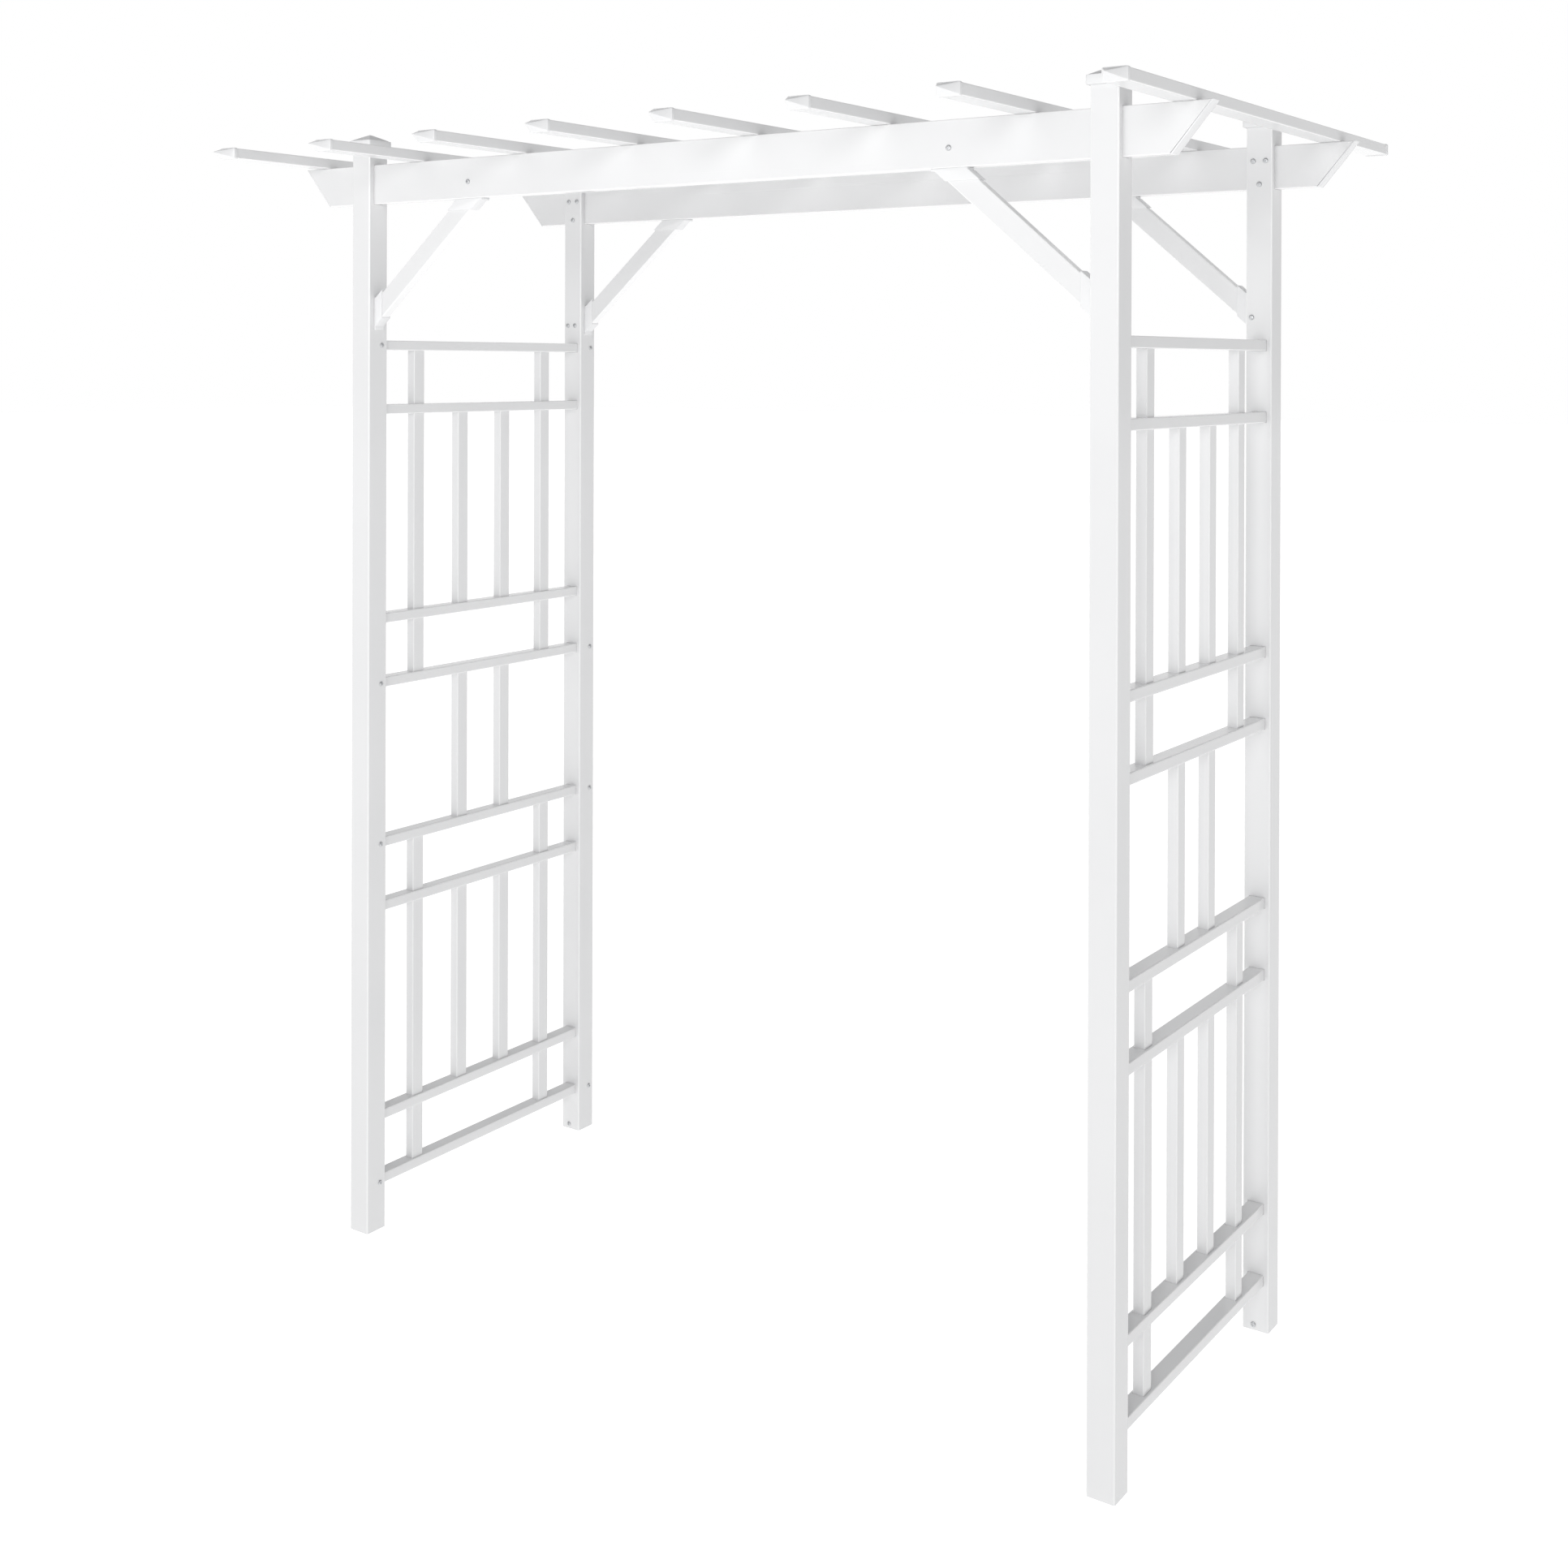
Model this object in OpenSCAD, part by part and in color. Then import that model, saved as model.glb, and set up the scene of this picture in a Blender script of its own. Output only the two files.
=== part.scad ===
// Garden arch: four posts, two lattice side panels, two beams and a row of rafters.
// Origin at the middle of the footprint, on the ground. X runs along the beams, Y front to back.

/* [Arch] */
// Distance between the left and right post centres
span = 1660; // [1300:10:2000]
// Distance between the front and back post centres
depth = 660; // [520:10:800]
// Height of the beams' top edge above the ground
beam_top = 2185; // [2160:5:2650]

/* [Posts] */
// Width of a square post
post_w = 50; // [45:1:60]
// Wall of the posts and beams
post_wall = 1.2; // [1:0.1:2]
// Outer corner radius of a post
post_r = 3; // [2:0.5:4]
// How far the post tube rises above the beams
post_rise = 47; // [40:1:80]
// How far the post cap stands out past the post
cap_lip = 6; // [2:0.5:8]
// Height of the post cap's straight skirt
cap_skirt = 16; // [12:1:30]
// Height of the post cap's pyramid
cap_peak = 13; // [8:1:30]
// Height of the plug in the foot of a post
plug_h = 32; // [26:1:50]
// Thickness of a foot plug's floor and walls
plug_wall = 4; // [3:0.5:6]

/* [Side panels] */
// Height of the lowest rail's centre above the ground
first_rail = 95; // [70:1:130]
// Height step between the two rails of a close pair
pair_step = 132; // [110:1:140]
// Height step across a tall lattice field
tall_step = 432; // [380:1:450]
// Height step across the middle field
mid_step = 330; // [280:1:360]
// Rail section, across the panel
rail_w = 30; // [26:1:34]
// Rail section, height
rail_h = 20; // [16:1:26]
// Upright bar section, across the panel
bar_t = 20; // [14:1:22]
// Upright bar section, along the panel
bar_w = 30; // [20:1:36]
// Wall of the rails, bars, rafters and braces
thin_wall = 1; // [0.8:0.1:1.5]
// Outer corner radius of the rails, bars, rafters and braces
small_r = 2; // [1.5:0.25:3]

/* [Beams] */
// Height of a beam
beam_h = 80; // [60:1:110]
// Thickness of a beam
beam_t = 25; // [20:1:32]
// Reach of a beam's top edge past the post centre
beam_reach = 175; // [150:1:240]
// How much shorter the beam's bottom edge is at each end
beam_slope = 68; // [30:1:80]
// Length of a beam's end plate along the beam
end_plate = 4; // [3:0.5:6]

/* [Rafters] */
// Reach of the outermost rafters past the post centres
rafter_out = 127; // [120:1:150]
// Rafter section, width
rafter_w = 40; // [30:1:44]
// Rafter section, height
rafter_h = 20; // [16:1:30]
// Reach of a rafter tube past the post centres, front and back
rafter_reach = 253; // [150:1:320]
// Length of the straight rim of a rafter cap
rim_len = 8; // [4:1:12]
// Length of the pyramid of a rafter cap
point_len = 36; // [12:1:45]

/* [Braces] */
// Where the brace's centre line meets the beam, from the post
brace_run = 262; // [200:1:300]
// Where the brace's centre line meets the post, below the beam
brace_drop = 224; // [180:1:245]
// Brace section, in the plane of the beam
brace_w = 38; // [30:1:46]
// Brace section, front to back
brace_t = 20; // [16:1:22]
// Length of a shoe's collar, square to the face that it sits on
collar = 22; // [16:1:30]

/* [Screws] */
// Radius of a screw's shank
shank_r = 2; // [1.5:0.25:2.5]
// Radius of a screw's head
head_r = 5; // [3.5:0.25:6]
// Height of a screw's head
head_h = 2.6; // [1.8:0.1:3.2]

/* [Hidden] */
$fn = 32;
rafter_count = 8;          // each rafter has a node of its own
slip = 0.2;                // clearance of a tube in its socket, each side
screw_slip = 0.15;         // clearance of a shank in its hole
far_gap = 0.5;             // gap between the end of a tube and the wall that it stops at
cut = 1;                   // how far a cutting solid runs past the face that it cuts
wall_cut = 4;              // depth of a screw hole that only has to clear a tube's wall
shoe_wall = 2;             // wall of a brace shoe's collar
shoe_base = 4;             // thickness of a brace shoe's base
tongue_t = 14;             // thickness of a brace shoe's tongue
tongue_w = 22;             // width of a brace shoe's tongue
tongue_in_post = 45;       // reach of a shoe's tongue into the post
tongue_in_beam = 42;       // reach of a shoe's tongue into the beam
spigot_len = 16;           // length of a cap's spigot inside its tube
spigot_wall = 2;           // wall of a cap's spigot
cap_floor = 4;             // thickness of the post cap over the post's end
rim_lip = 1;               // how far a rafter cap's rim stands out past the tube
peak_step = 1.5;           // flat ledge around the foot of a cap's pyramid
post_plate_rim = 8;        // how far a shoe's plate runs past the brace, up and down the post
beam_plate_rim = 6;        // how far a shoe's plate runs past the brace, along the beam
brace_spare = 90;          // length that is cut off a brace at each end
recess_w = 1.1;            // width of the cross in a screw's head
recess_h = 1.2;            // depth of the cross in a screw's head

post_h = beam_top + post_rise;
beam_mid = beam_top - beam_h / 2;
beam_base = beam_top - beam_h;
beam_half = span / 2 + beam_reach;
rafter_half = depth / 2 + rafter_reach;
rafter_mid = beam_top + rafter_h / 2;
rafter_step = (span + 2 * rafter_out) / (rafter_count - 1);
panel_step = depth / 5;    // the bars divide the panel into five even columns
outer_bar = 1.5 * panel_step;
inner_bar = 0.5 * panel_step;
brace_tilt = atan2(brace_drop, brace_run);
brace_len = norm([brace_run, brace_drop]) + 2 * brace_spare;
brace_x = (span - post_w) / 2 - brace_run;   // where a brace's centre line meets the beam

// Heights of the rails' centres, from the ground up
rail_steps = [pair_step, tall_step, pair_step, mid_step, pair_step, tall_step, pair_step];
function rail_z(i) = i == 0 ? first_rail : rail_z(i - 1) + rail_steps[i - 1];
function rafter_x(i) = -span / 2 - rafter_out + i * rafter_step;

// Screw places
rail_screws = [0, 3, 4, 7];                     // rails that are screwed to the posts
rail_screw_y = 10;                              // behind the post's centre line
beam_screws = [[-12, 52], [12, 52], [0, 9]];   // across the post, above the beam's base
foot_screw = [-4, 10];                          // across the post, above the ground
brace_screw_z = beam_base - brace_drop - 12;
left_brace_screws = [7, -14];                   // towards the passage from the post's centre line
right_brace_screws = [14];
tongue_screw = 33;                              // above the beam's base
rafter_shank = rafter_h + 8;
beam_shank = 20;
brace_shank = 24;
tongue_shank = 18;
rail_shank = 15;
foot_shank = 12;

// ---- shared shapes ----

// Rectangle with round corners, centred
module round_rect(w, d, r) {
    square([w, d - 2 * r], center = true);
    square([w - 2 * r, d], center = true);
    for (x = [-1, 1], y = [-1, 1])
        translate([x * (w / 2 - r), y * (d / 2 - r)]) circle(r);
}

// Upright rectangular tube standing on z = 0
module tube(w, d, h, wall, r) {
    linear_extrude(h)
        difference() {
            round_rect(w, d, r);
            round_rect(w - 2 * wall, d - 2 * wall, max(r - wall, 0.5));
        }
}

// Tube along Y, centred on the origin: w across, h high
module tube_y(w, h, len, wall, r) {
    rotate([90, 0, 0]) translate([0, 0, -len / 2]) tube(w, h, len, wall, r);
}

// Tube along X, centred on the origin: d front to back, h high
module tube_x(d, h, len, wall, r) {
    rotate([0, 90, 0]) translate([0, 0, -len / 2]) tube(h, d, len, wall, r);
}

// Four-sided pyramid on z = 0
module pyramid(w, d, h) {
    intersection() {
        rotate([90, 0, 0])
            linear_extrude(d, center = true) polygon([[-w / 2, 0], [w / 2, 0], [0, h]]);
        rotate([90, 0, 90])
            linear_extrude(w, center = true) polygon([[-d / 2, 0], [d / 2, 0], [0, h]]);
    }
}

// Pan-head screw: its shank points down, its head stands on z = 0
module screw(len) {
    color("silver")
        difference() {
            union() {
                translate([0, 0, -len]) cylinder(r = shank_r, h = len + head_h / 2);
                cylinder(r1 = head_r, r2 = head_r * 0.82, h = head_h);
            }
            for (a = [0, 90])
                rotate(a) translate([0, 0, head_h])
                    cube([head_r * 1.1, recess_w, 2 * recess_h], center = true);
        }
}

// Hole for a screw that is driven along -Z into z = 0
module screw_hole(len) {
    translate([0, 0, -len]) cylinder(r = shank_r + screw_slip, h = len + cut);
}

// ---- places ----

// A post's centre line on the ground; sx and sy are -1 or 1
module at_post(sx, sy) translate([sx * span / 2, sy * depth / 2, 0]) children();

// Turns +Z to the post's face that looks along the panel, at height z
module on_panel_face(sy, x, z)
    translate([x, -sy * post_w / 2, z]) rotate([sy * 90, 0, 0]) children();

// Turns +Z to the post's face that looks into the passage, at height z
module on_passage_face(sx, y, z)
    translate([-sx * post_w / 2, y, z]) rotate([0, -sx * 90, 0]) children();

// Corner between post and beam: +X runs into the passage, Z is up
module at_corner(sx, sy) {
    translate([sx * (span - post_w) / 2, sy * depth / 2, beam_base])
        mirror([sx > 0 ? 1 : 0, 0, 0]) children();
}

// Along a brace's centre line: +X runs up the brace from the post
module along_brace() translate([0, 0, -brace_drop]) rotate([0, -brace_tilt, 0]) children();

// ---- posts ----

module post_screw_holes(sx, sy) {
    for (s = beam_screws) on_panel_face(sy, s[0], beam_base + s[1]) screw_hole(wall_cut);
    for (i = rail_screws) on_passage_face(sx, rail_screw_y, rail_z(i)) screw_hole(wall_cut);
    for (x = sx < 0 ? left_brace_screws : right_brace_screws)
        on_panel_face(sy, -sx * x, brace_screw_z) screw_hole(wall_cut);
    on_panel_face(sy, foot_screw[0], foot_screw[1]) screw_hole(wall_cut);
}

module post(sx, sy) {
    color("white")
        at_post(sx, sy)
        difference() {
            tube(post_w, post_w, post_h, post_wall, post_r);
            for (i = [0 : 7])
                translate([0, -sy * post_w / 2, rail_z(i)])
                    cube([rail_w + 2 * slip, 4 * post_wall, rail_h + 2 * slip], center = true);
            translate([0, 0, beam_mid])
                cube([post_w + 2 * cut, beam_t + 2 * slip, beam_h + 2 * slip], center = true);
            translate([-sx * post_w / 2, 0, beam_base - brace_drop])
                cube([4 * post_wall, tongue_t + 2 * slip, tongue_w + 2 * slip], center = true);
            post_screw_holes(sx, sy);
        }
}

module post_cap(sx, sy) {
    skirt_w = post_w + 2 * cap_lip;
    peak_w = skirt_w - 2 * peak_step;
    color("white")
        at_post(sx, sy) {
            difference() {
                translate([0, 0, post_h + cap_floor - cap_skirt])
                    linear_extrude(cap_skirt) round_rect(skirt_w, skirt_w, post_r + 1);
                translate([0, 0, post_h + cap_floor - cap_skirt - cut])
                    linear_extrude(cap_skirt - cap_floor + cut)
                        round_rect(post_w + 2 * slip, post_w + 2 * slip, post_r + slip);
            }
            translate([0, 0, post_h + cap_floor]) pyramid(peak_w, peak_w, cap_peak);
        }
}

module foot_plug(sx, sy) {
    plug_w = post_w - 2 * post_wall - 2 * slip;
    color("white")
        at_post(sx, sy)
        difference() {
            linear_extrude(plug_h) round_rect(plug_w, plug_w, post_r - post_wall);
            translate([0, 0, plug_wall])
                linear_extrude(plug_h) square(plug_w - 2 * plug_wall, center = true);
            on_panel_face(sy, foot_screw[0], foot_screw[1]) screw_hole(foot_shank);
        }
}

// ---- beams ----

// Side outline of a beam, shortened at both ends
module beam_outline(shorten) {
    top = beam_half - shorten;
    base = top - beam_slope;
    polygon([[-base, beam_base], [base, beam_base], [top, beam_top], [-top, beam_top]]);
}

module beam(sy) {
    color("white")
        translate([0, sy * depth / 2, 0])
        difference() {
            intersection() {
                translate([0, 0, beam_mid]) tube_x(beam_t, beam_h, 2 * beam_half, post_wall, small_r);
                rotate([90, 0, 0]) linear_extrude(2 * beam_t, center = true) beam_outline(end_plate);
            }
            for (i = [0 : rafter_count - 1]) translate([rafter_x(i), 0, beam_top]) screw_hole(wall_cut);
            for (sx = [-1, 1]) {
                for (s = beam_screws)
                    translate([sx * span / 2 + s[0], -sy * beam_t / 2, beam_base + s[1]])
                        rotate([sy * 90, 0, 0]) screw_hole(wall_cut);
                translate([sx * brace_x, 0, beam_base])
                    cube([tongue_w + 2 * slip, tongue_t + 2 * slip, 4 * post_wall], center = true);
                translate([sx * brace_x, sy * beam_t / 2, beam_base + tongue_screw])
                    rotate([-sy * 90, 0, 0]) screw_hole(wall_cut);
            }
        }
}

// Solid bar of the beam's full length and a given section
module beam_bar(t, h) {
    translate([0, 0, beam_mid]) rotate([0, 90, 0])
        linear_extrude(2 * beam_half, center = true) round_rect(h, t, small_r);
}

// Slanted plate that closes a beam, with a hollow spigot inside the tube
module beam_end(sx, sy) {
    inside_t = beam_t - 2 * post_wall - 2 * slip;
    inside_h = beam_h - 2 * post_wall - 2 * slip;
    color("white")
        translate([0, sy * depth / 2, 0])
        intersection() {
            union() {
                difference() {
                    beam_bar(beam_t, beam_h);
                    rotate([90, 0, 0])
                        linear_extrude(2 * beam_t, center = true) beam_outline(end_plate);
                }
                difference() {
                    beam_bar(inside_t, inside_h);
                    rotate([90, 0, 0])
                        linear_extrude(2 * beam_t, center = true) beam_outline(end_plate + spigot_len);
                    intersection() {
                        beam_bar(inside_t - 2 * spigot_wall, inside_h - 2 * spigot_wall);
                        rotate([90, 0, 0])
                            linear_extrude(2 * beam_t, center = true) beam_outline(end_plate);
                    }
                }
            }
            rotate([90, 0, 0]) linear_extrude(2 * beam_t, center = true) beam_outline(0);
            translate([sx * beam_half, 0, beam_mid])
                cube([beam_half, 2 * beam_t, 2 * beam_h], center = true);
        }
}

// ---- rafters ----

module rafter(i) {
    color("white")
        translate([rafter_x(i), 0, rafter_mid])
        difference() {
            tube_y(rafter_w, rafter_h, 2 * rafter_half, thin_wall, small_r);
            for (sy = [-1, 1]) translate([0, sy * depth / 2, rafter_h / 2]) screw_hole(rafter_h + cut);
        }
}

// Pointed cap for the front end of a rafter, in its place
module rafter_cap(i, sy) {
    rim_w = rafter_w + 2 * rim_lip;
    rim_h = rafter_h + 2 * rim_lip;
    spigot_w = rafter_w - 2 * thin_wall - 2 * slip;
    spigot_h = rafter_h - 2 * thin_wall - 2 * slip;
    color("white")
        translate([rafter_x(i), sy * rafter_half, rafter_mid])
        mirror([0, sy > 0 ? 1 : 0, 0])
        rotate([90, 0, 0]) {
            linear_extrude(rim_len) round_rect(rim_w, rim_h, small_r + rim_lip);
            translate([0, 0, rim_len]) pyramid(rim_w - peak_step, rim_h - peak_step, point_len);
            translate([0, 0, -spigot_len])
                linear_extrude(spigot_len)
                difference() {
                    round_rect(spigot_w, spigot_h, small_r - thin_wall + slip);
                    square([spigot_w - 2 * spigot_wall, spigot_h - 2 * spigot_wall], center = true);
                }
        }
}

module rafter_caps(sy) for (i = [0 : rafter_count - 1]) rafter_cap(i, sy);

// ---- braces ----

// Slanted bar with the brace's section grown by a margin, as a solid
module brace_bar(margin) {
    along_brace() translate([-brace_spare, 0, 0]) rotate([0, 90, 0])
        linear_extrude(brace_len) round_rect(brace_w + 2 * margin, brace_t + 2 * margin, small_r + margin);
}

module brace(sx, sy) {
    far = brace_run + brace_drop;
    color("white")
        at_corner(sx, sy)
        intersection() {
            along_brace() translate([-brace_spare, 0, 0]) rotate([0, 90, 0])
                tube(brace_w, brace_t, brace_len, thin_wall, small_r);
            translate([shoe_base, -brace_t, -shoe_base - far]) cube([far, 2 * brace_t, far]);
        }
}

// Shoe that holds a brace against the post
module brace_post_shoe(sx, sy) {
    half_h = brace_w / cos(brace_tilt) / 2;
    color("white")
        at_corner(sx, sy)
        difference() {
            union() {
                intersection() {
                    brace_bar(shoe_wall + slip);
                    translate([0, -brace_t, -2 * brace_drop]) cube([collar, 2 * brace_t, 2 * brace_drop]);
                }
                translate([0, -brace_t / 2 - shoe_wall - slip, -brace_drop - half_h - post_plate_rim])
                    cube([shoe_base, brace_t + 2 * shoe_wall + 2 * slip, 2 * (half_h + post_plate_rim)]);
                translate([-tongue_in_post, -tongue_t / 2, -brace_drop - tongue_w / 2])
                    cube([tongue_in_post + shoe_base, tongue_t, tongue_w]);
            }
            intersection() {
                brace_bar(slip);
                translate([shoe_base, -brace_t, -2 * brace_drop]) cube([2 * collar, 2 * brace_t, 2 * brace_drop]);
            }
            for (x = sx < 0 ? left_brace_screws : right_brace_screws)
                translate([x - post_w / 2, -sy * post_w / 2, brace_screw_z - beam_base])
                    rotate([sy * 90, 0, 0]) screw_hole(brace_shank + cut);
        }
}

// Shoe that holds a brace against the beam
module brace_beam_shoe(sx, sy) {
    half_l = brace_w / sin(brace_tilt) / 2;
    color("white")
        at_corner(sx, sy)
        difference() {
            union() {
                intersection() {
                    brace_bar(shoe_wall + slip);
                    translate([0, -brace_t, -collar]) cube([2 * brace_run, 2 * brace_t, collar]);
                }
                translate([brace_run - half_l - beam_plate_rim, -beam_t / 2, -shoe_base])
                    cube([2 * (half_l + beam_plate_rim), beam_t, shoe_base]);
                translate([brace_run - tongue_w / 2, -tongue_t / 2, -shoe_base])
                    cube([tongue_w, tongue_t, tongue_in_beam + shoe_base]);
            }
            intersection() {
                brace_bar(slip);
                translate([0, -brace_t, -2 * collar - shoe_base]) cube([2 * brace_run, 2 * brace_t, 2 * collar]);
            }
            translate([brace_run, sy * beam_t / 2, tongue_screw])
                rotate([-sy * 90, 0, 0]) screw_hole(tongue_shank + cut);
        }
}

module brace_post_shoes() for (sx = [-1, 1], sy = [-1, 1]) brace_post_shoe(sx, sy);
module brace_beam_shoes() for (sx = [-1, 1], sy = [-1, 1]) brace_beam_shoe(sx, sy);

// ---- side panels ----

// Hole in a rail's top wall (side 1) or bottom wall (side -1) for a bar at y
module bar_hole(y, side) {
    translate([0, y, side * rail_h / 2])
        cube([bar_t + 2 * slip, bar_w + 2 * slip, 4 * thin_wall], center = true);
}

// Rail i from the ground up; outer bars run from rails 0 and 4, inner bars from rails 1, 3 and 5
module rail(sx, i) {
    from_rail = i % 4;
    color("white")
        translate([sx * span / 2, 0, rail_z(i)])
        difference() {
            tube_y(rail_w, rail_h, depth + post_w - 2 * post_wall - 2 * far_gap, thin_wall, small_r);
            for (s = [-1, 1]) {
                if (from_rail < 3) bar_hole(s * outer_bar, 1);
                if (from_rail > 0) bar_hole(s * outer_bar, -1);
                if (i % 2 == 1 && i < 7) bar_hole(s * inner_bar, 1);
                if (i % 2 == 0 && i > 0) bar_hole(s * inner_bar, -1);
                if (from_rail == 0 || from_rail == 3)
                    translate([-sx * rail_w / 2, s * depth / 2 + rail_screw_y, 0])
                        rotate([0, -sx * 90, 0]) screw_hole(wall_cut);
            }
        }
}

// Upright bar between the far walls of two rails
module bar(sx, y, low, high) {
    z0 = rail_z(low) - rail_h / 2 + thin_wall + far_gap;
    z1 = rail_z(high) + rail_h / 2 - thin_wall - far_gap;
    color("white")
        translate([sx * span / 2, y, z0]) tube(bar_t, bar_w, z1 - z0, thin_wall, small_r);
}

module outer_bars(sx) for (s = [-1, 1], low = [0, 4]) bar(sx, s * outer_bar, low, low + 3);
module inner_bars(sx) for (s = [-1, 1], low = [1, 3, 5]) bar(sx, s * inner_bar, low, low + 1);

// ---- screws ----

module rafter_screws() {
    for (i = [0 : rafter_count - 1], sy = [-1, 1])
        translate([rafter_x(i), sy * depth / 2, beam_top + rafter_h]) screw(rafter_shank);
}

module beam_screw_set() {
    for (sx = [-1, 1], sy = [-1, 1])
        at_post(sx, sy)
            for (s = beam_screws) on_panel_face(sy, s[0], beam_base + s[1]) screw(beam_shank);
}

module brace_screws() {
    for (sx = [-1, 1], sy = [-1, 1]) {
        at_post(sx, sy)
            for (x = sx < 0 ? left_brace_screws : right_brace_screws)
                on_panel_face(sy, -sx * x, brace_screw_z) screw(brace_shank);
        translate([sx * brace_x, sy * (depth + beam_t) / 2, beam_base + tongue_screw])
            rotate([-sy * 90, 0, 0]) screw(tongue_shank);
    }
}

module rail_screw_set() {
    for (sx = [-1, 1], sy = [-1, 1])
        at_post(sx, sy)
            for (i = rail_screws) on_passage_face(sx, rail_screw_y, rail_z(i)) screw(rail_shank);
}

module foot_screws() {
    for (sx = [-1, 1], sy = [-1, 1])
        at_post(sx, sy) on_panel_face(sy, foot_screw[0], foot_screw[1]) screw(foot_shank);
}

// ---- parts ----

post(-1, -1);  // post_front_left
post(1, -1);  // post_front_right
post(-1, 1);  // post_back_left
post(1, 1);  // post_back_right
post_cap(-1, -1);  // post_cap_front_left
post_cap(1, -1);  // post_cap_front_right
post_cap(-1, 1);  // post_cap_back_left
post_cap(1, 1);  // post_cap_back_right
foot_plug(-1, -1);  // foot_plug_front_left
foot_plug(1, -1);  // foot_plug_front_right
foot_plug(-1, 1);  // foot_plug_back_left
foot_plug(1, 1);  // foot_plug_back_right
beam(-1);  // beam_front
beam(1);  // beam_back
beam_end(-1, -1);  // beam_end_front_left
beam_end(1, -1);  // beam_end_front_right
beam_end(-1, 1);  // beam_end_back_left
beam_end(1, 1);  // beam_end_back_right
for (i = [0 : rafter_count - 1]) rafter(i);
rafter_caps(-1);  // rafter_caps_front
rafter_caps(1);  // rafter_caps_back
brace(-1, -1);  // brace_front_left
brace(1, -1);  // brace_front_right
brace(-1, 1);  // brace_back_left
brace(1, 1);  // brace_back_right
brace_post_shoes();
brace_beam_shoes();
for (i = [0 : 7]) rail(-1, i);
for (i = [0 : 7]) rail(1, i);
outer_bars(-1);  // outer_bars_left
outer_bars(1);  // outer_bars_right
inner_bars(-1);  // inner_bars_left
inner_bars(1);  // inner_bars_right
rafter_screws();
beam_screw_set();  // beam_screws
brace_screws();
rail_screw_set();  // rail_screws
foot_screws();
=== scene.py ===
import math

import bmesh
import bpy
from mathutils import Matrix, Vector

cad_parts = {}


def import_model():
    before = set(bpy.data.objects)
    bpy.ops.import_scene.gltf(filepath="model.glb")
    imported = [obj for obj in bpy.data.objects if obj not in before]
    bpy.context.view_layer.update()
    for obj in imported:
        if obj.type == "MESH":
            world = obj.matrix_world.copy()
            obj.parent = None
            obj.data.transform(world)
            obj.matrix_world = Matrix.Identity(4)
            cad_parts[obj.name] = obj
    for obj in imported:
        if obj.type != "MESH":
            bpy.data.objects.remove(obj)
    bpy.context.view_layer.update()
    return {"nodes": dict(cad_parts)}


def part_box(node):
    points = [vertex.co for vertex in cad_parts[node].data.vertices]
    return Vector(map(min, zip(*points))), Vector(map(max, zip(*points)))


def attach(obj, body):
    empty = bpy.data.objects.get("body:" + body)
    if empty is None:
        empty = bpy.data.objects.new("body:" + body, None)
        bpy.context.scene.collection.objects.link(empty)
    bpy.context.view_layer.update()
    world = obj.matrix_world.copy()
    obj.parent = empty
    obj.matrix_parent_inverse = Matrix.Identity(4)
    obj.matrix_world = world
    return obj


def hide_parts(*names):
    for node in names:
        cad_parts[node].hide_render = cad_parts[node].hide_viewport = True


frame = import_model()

bl_info = {
    "name": "Garden Arch",
    "version": (1, 0, 0),
    "blender": (4, 5, 0),
    "location": "View3D > Sidebar > Arch",
    "description": "Finishes and moulded details for a white garden arch, on its CAD frame",
    "category": "Object",
}

BODY = "root"
CORNERS = ("front_left", "front_right", "back_left", "back_right")
SIDES = ("left", "right")
ROWS = ("front", "back")
RAFTERS = 8
RAILS = 8  # in each side
SHARP = math.radians(32)  # edges that turn by more than this count as sharp
HEAD_RADIUS = 0.005  # of a screw
WHITE = (1.0, 1.0, 1.0)
AHEAD = (-0.5675, 0.8234, 0.0)  # level direction into the middle of the bright wall of light


# ---- sizes and colours ----


def size(name, default, text):
    """A length in metres, as a property."""
    return bpy.props.FloatProperty(
        name=name,
        description=text,
        default=default,
        min=0.0,
        unit="LENGTH",
        subtype="DISTANCE",
        precision=4,
    )


def colour(name, default, text):
    """An opaque colour, as a property."""
    return bpy.props.FloatVectorProperty(
        name=name, description=text, default=default, min=0.0, max=1.0, size=3, subtype="COLOR"
    )


def share(name, default, text):
    """A number from 0 to 1, as a property."""
    return bpy.props.FloatProperty(
        name=name, description=text, default=default, min=0.0, max=1.0, subtype="FACTOR"
    )


class ArchSizes(bpy.types.PropertyGroup):
    """Sizes of the moulded details."""

    edge: size("Edge", 0.0009, "Rounding of the moulded edges")
    ledge: size("Ledge", 0.0015, "Flat ledge around the foot of a post cap's pyramid")
    skirt_wall: size("Skirt wall", 0.0056, "Wall of a post cap's skirt")
    cap_floor: size("Cap floor", 0.004, "Thickness of a post cap over the post's end")
    cap_skirt: size("Cap skirt", 0.016, "Height of a post cap's straight skirt")
    end_plate: size("End plate", 0.004, "Length of a beam's end plate along the beam")
    brace_width: size("Brace width", 0.038, "Width of a brace in the plane of the beam")
    shoe_wall: size("Shoe wall", 0.0022, "Wall and clearance of a shoe's collar around the brace")
    shoe_base: size("Shoe base", 0.004, "Thickness of a shoe's plate")
    collar: size("Collar", 0.022, "Length of a shoe's collar")
    post_plate_rim: size("Post plate rim", 0.008, "How far a shoe's plate runs past the brace on the post")
    beam_plate_rim: size("Beam plate rim", 0.006, "How far a shoe's plate runs past the brace under the beam")
    lip: size("Lip", 0.0016, "How far a shoe's rim bead stands proud")
    recess: size("Recess", 0.0012, "Width of the cross in a screw's head")
    floor: size("Floor", 60.0, "Half width of the studio floor")


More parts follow.
